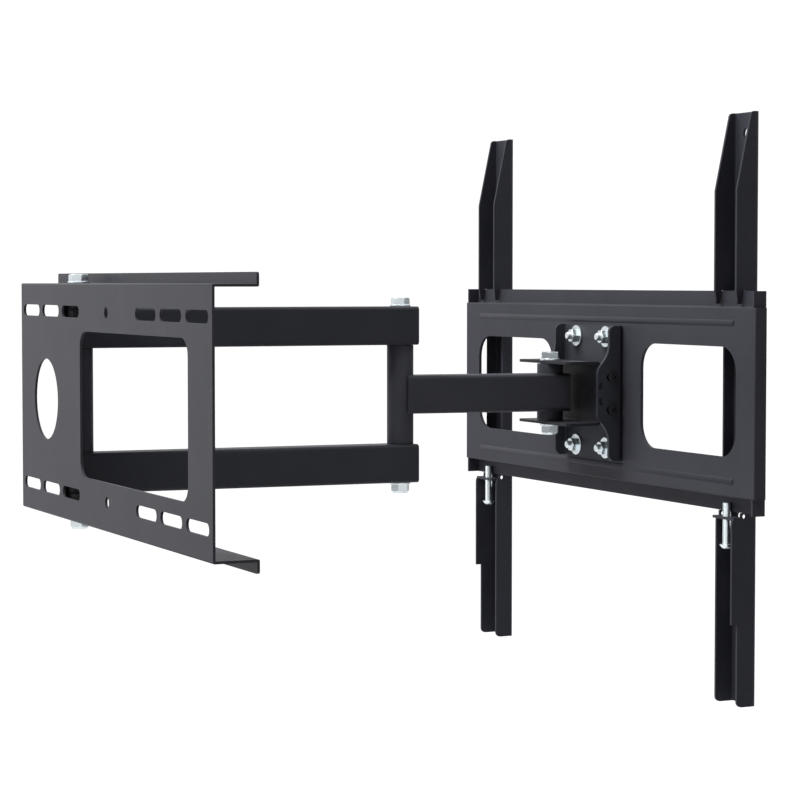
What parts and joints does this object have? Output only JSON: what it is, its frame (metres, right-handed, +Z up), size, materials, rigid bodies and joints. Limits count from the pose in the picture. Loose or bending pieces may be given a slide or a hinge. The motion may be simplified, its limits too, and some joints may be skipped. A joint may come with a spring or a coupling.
{
  "type": "full motion tv wall mount",
  "caption": "Full motion television wall mount with a slotted wall plate, twin rear arms, a single front arm, a tilting head and a railed plate with hook-on vertical brackets.",
  "frame": {"origin": "middle of the wall plate on its wall face", "axes": "+Y into the wall, +Z up, X along the wall; the television side is -Y"},
  "size_m": [0.5395, 0.4629, 0.4382],
  "materials": {
    "wall_paint": "satin black powder coat",
    "arm_paint": "satin black powder coat",
    "head_paint": "satin black powder coat",
    "tv_paint": "satin black powder coat",
    "bracket_paint": "satin black powder coat",
    "zinc": "bright zinc plate",
    "black_steel": "black oxide",
    "black_plastic": "moulded black plastic"
  },
  "bodies": {
    "wall": {"wall_plate": "wall_paint", "wall_pivot_bolt": "zinc", "wall_pivot_washers": "zinc", "wall_pivot_nut": "zinc"},
    "rear_arm": {"rear_arm_upper": "arm_paint", "rear_arm_lower": "arm_paint", "wall_pivot_sleeve": "arm_paint", "wall_pivot_spacers": "black_plastic", "rear_arm_end_plugs": "black_plastic", "elbow_bolt": "zinc", "elbow_washers": "zinc", "elbow_nut": "zinc"},
    "front_arm": {"front_arm_tube": "arm_paint", "elbow_sleeve": "arm_paint", "head_sleeve": "arm_paint", "front_arm_end_cap": "arm_paint"},
    "swivel": {"swivel_bracket": "head_paint", "swivel_bolt": "zinc", "swivel_washers": "zinc", "swivel_nut": "zinc", "tilt_pivot_pins": "black_steel", "tilt_lock_screws": "black_steel"},
    "tilt_head": {"tilt_bracket": "head_paint", "tv_plate": "tv_paint", "plate_bolts": "zinc", "plate_washers": "zinc", "plate_nuts": "zinc", "rail_end_stops": "tv_paint"},
    "left_bracket": {"left_tv_bracket": "bracket_paint"},
    "right_bracket": {"right_tv_bracket": "bracket_paint"},
    "left_screw": {"left_locking_screw": "zinc"},
    "right_screw": {"right_locking_screw": "zinc"}
  },
  "joints": [
    {"name": "wall_pivot", "type": "hinge", "parent": "wall", "child": "rear_arm", "pos_m": [0.115, -0.0155, 0], "axis": [0, 0, 1], "range_deg": [-80, 80]},
    {"name": "elbow", "type": "hinge", "parent": "rear_arm", "child": "front_arm", "pos_m": [0.1042, -0.27327, 0], "axis": [0, 0, -1], "range_deg": [-100, 85]},
    {"name": "head_swivel", "type": "hinge", "parent": "front_arm", "child": "swivel", "pos_m": [0.0895, -0.39841, 0], "axis": [0, 0, 1], "range_deg": [-70, 70]},
    {"name": "tilt", "type": "hinge", "parent": "swivel", "child": "tilt_head", "pos_m": [0.0895, -0.42931, 0], "axis": [1, 0, 0], "range_deg": [-10, 10]},
    {"name": "left_bracket_slide", "type": "slide", "parent": "tilt_head", "child": "left_bracket", "axis": [1, 0, 0], "range_m": [-0.104, 0.0105]},
    {"name": "right_bracket_slide", "type": "slide", "parent": "tilt_head", "child": "right_bracket", "axis": [1, 0, 0], "range_m": [-0.026, 0.0885]},
    {"name": "left_screw_travel", "type": "slide", "parent": "left_bracket", "child": "left_screw", "axis": [0, 0, 1], "range_m": [-0.012, 0.002]},
    {"name": "right_screw_travel", "type": "slide", "parent": "right_bracket", "child": "right_screw", "axis": [0, 0, 1], "range_m": [-0.012, 0.002]}
  ]
}
